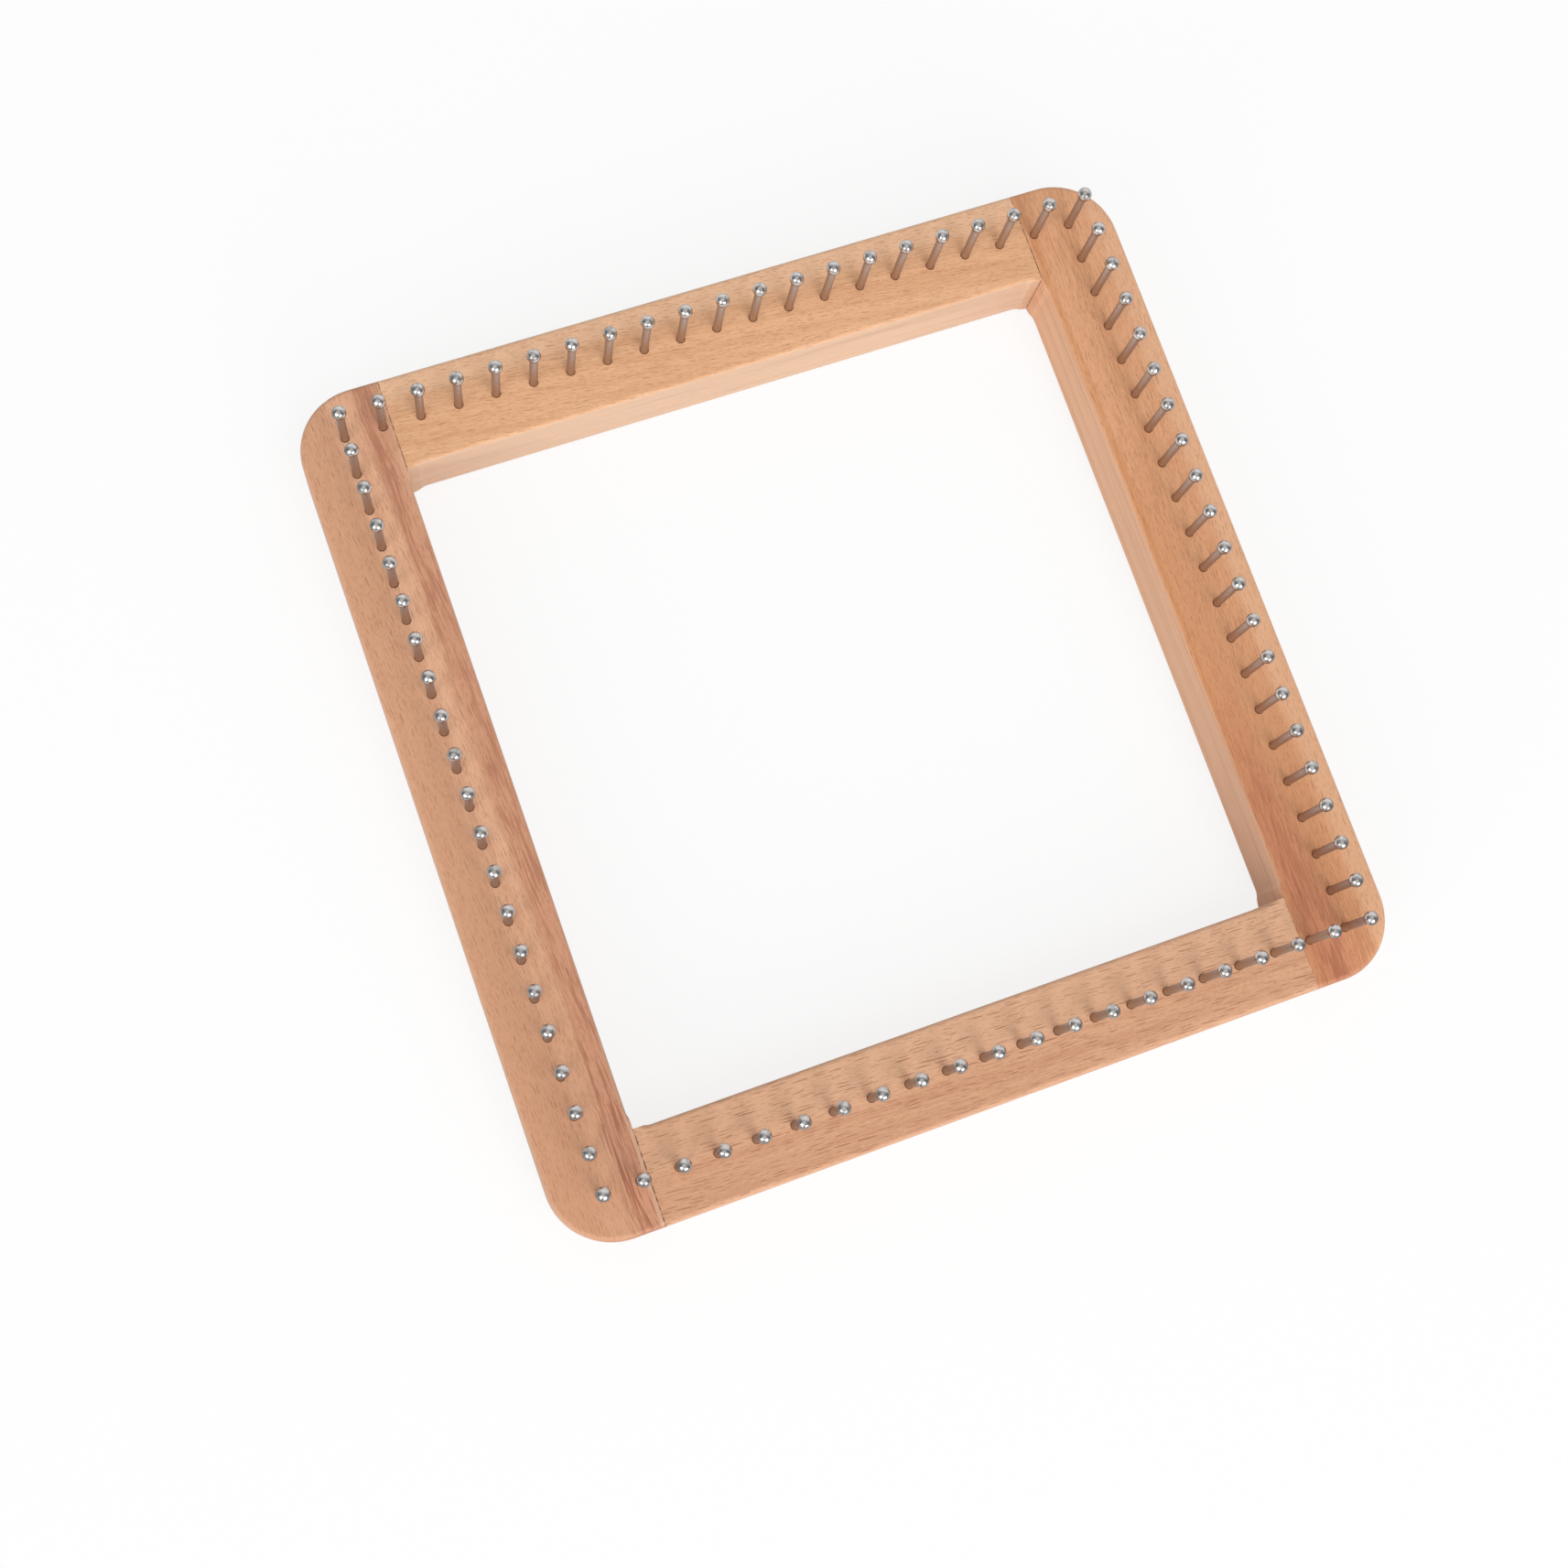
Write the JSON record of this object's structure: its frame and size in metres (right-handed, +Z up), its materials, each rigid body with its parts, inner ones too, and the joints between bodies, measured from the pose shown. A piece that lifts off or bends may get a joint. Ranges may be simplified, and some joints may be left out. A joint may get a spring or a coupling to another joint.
{
  "type": "potholder loom",
  "caption": "Flat square wooden frame with a row of upright ball-headed steel pegs on every side, for weaving loops into square potholders.",
  "frame": {"origin": "middle of the frame's underside, where it rests on the table", "axes": "+Z upward along the pegs, +X to the right along the rails, +Y away along the stiles"},
  "size_m": [0.2, 0.2, 0.0358],
  "materials": {
    "stile_beech": "sanded and oiled, pinkish",
    "rail_beech": "sanded and oiled, yellowish",
    "dowel_beech": "raw turned",
    "peg_steel": "polished"
  },
  "bodies": {
    "root": {"left_stile": "stile_beech", "right_stile": "stile_beech", "top_rail": "rail_beech", "bottom_rail": "rail_beech", "top_left_outer_dowel": "dowel_beech", "top_left_inner_dowel": "dowel_beech", "top_right_outer_dowel": "dowel_beech", "top_right_inner_dowel": "dowel_beech", "bottom_left_outer_dowel": "dowel_beech", "bottom_left_inner_dowel": "dowel_beech", "bottom_right_outer_dowel": "dowel_beech", "bottom_right_inner_dowel": "dowel_beech", "top_left_peg": "peg_steel", "top_right_peg": "peg_steel", "bottom_left_peg": "peg_steel", "bottom_right_peg": "peg_steel", "top_row_pegs": "peg_steel", "bottom_row_pegs": "peg_steel", "left_row_pegs": "peg_steel", "right_row_pegs": "peg_steel"}
  },
  "joints": []
}
